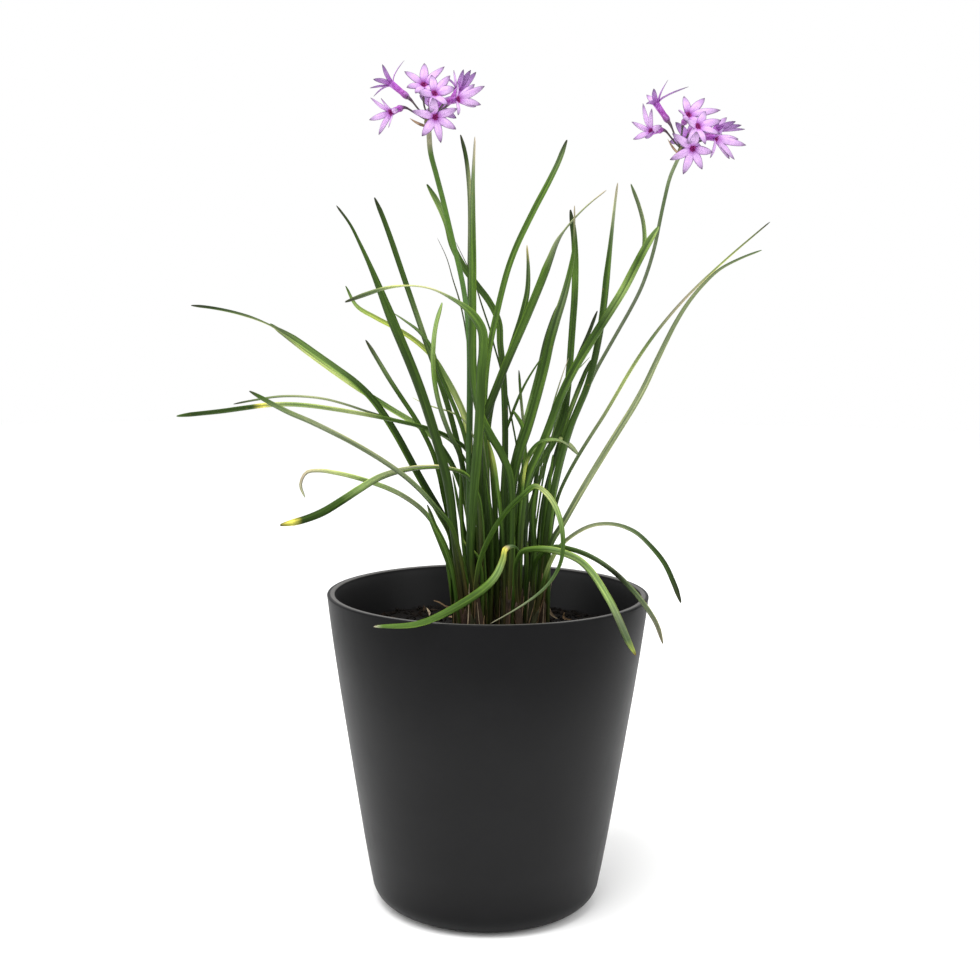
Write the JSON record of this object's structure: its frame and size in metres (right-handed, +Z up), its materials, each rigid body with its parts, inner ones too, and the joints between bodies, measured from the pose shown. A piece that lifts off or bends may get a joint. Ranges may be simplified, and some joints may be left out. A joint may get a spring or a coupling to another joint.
{
  "type": "potted society garlic",
  "caption": "Flowering strap-leaved herb with lilac star flowers in umbels, growing in potting mix in a plain tapered round pot.",
  "frame": {"origin": "centre of the pot's flat underside", "axes": "+Z up, -Y towards the front, from which the taller umbel is on the left"},
  "size_m": [0.298, 0.1608, 0.4124],
  "materials": {
    "pot": "satin charcoal",
    "potting_mix": "dark crumbly potting mix with bark and dry litter",
    "leaf": "fresh mid-green strap leaf, pale at the base, dry at the tip",
    "scape": "smooth grey-green flower stem",
    "spathe": "dry papery bract",
    "tepal": "velvety lilac petal with a darker throat"
  },
  "bodies": {
    "root": {"pot": "pot", "potting_mix": "potting_mix", "leaf_left_1": "leaf", "leaf_left_2": "leaf", "leaf_left_3": "leaf", "leaf_left_4": "leaf", "leaf_left_5": "leaf", "leaf_left_6": "leaf", "leaf_left_7": "leaf", "leaf_left_8": "leaf", "leaf_left_9": "leaf", "leaf_left_10": "leaf", "leaf_left_11": "leaf", "leaf_left_12": "leaf", "leaf_left_13": "leaf", "leaf_left_14": "leaf", "leaf_left_15": "leaf", "leaf_centre_1": "leaf", "leaf_centre_2": "leaf", "leaf_centre_3": "leaf", "leaf_centre_4": "leaf", "leaf_centre_5": "leaf", "leaf_right_1": "leaf", "leaf_right_2": "leaf", "leaf_right_3": "leaf", "leaf_right_4": "leaf", "leaf_right_5": "leaf", "leaf_right_6": "leaf", "leaf_right_7": "leaf", "leaf_right_8": "leaf", "leaf_right_9": "leaf", "leaf_right_10": "leaf", "leaf_right_11": "leaf", "leaf_right_12": "leaf", "leaf_right_13": "leaf", "leaf_drooping_1": "leaf", "leaf_drooping_2": "leaf", "leaf_drooping_3": "leaf", "leaf_drooping_4": "leaf", "leaf_drooping_5": "leaf", "scape_left": "scape", "scape_right": "scape", "spathe_left": "spathe", "spathe_right": "spathe", "floret_left_1": "tepal", "floret_left_2": "tepal", "floret_left_3": "tepal", "floret_left_4": "tepal", "floret_left_5": "tepal", "floret_left_6": "tepal", "floret_left_7": "tepal", "floret_left_8": "tepal", "floret_right_1": "tepal", "floret_right_2": "tepal", "floret_right_3": "tepal", "floret_right_4": "tepal", "floret_right_5": "tepal", "floret_right_6": "tepal", "floret_right_7": "tepal", "floret_right_8": "tepal"}
  },
  "joints": []
}
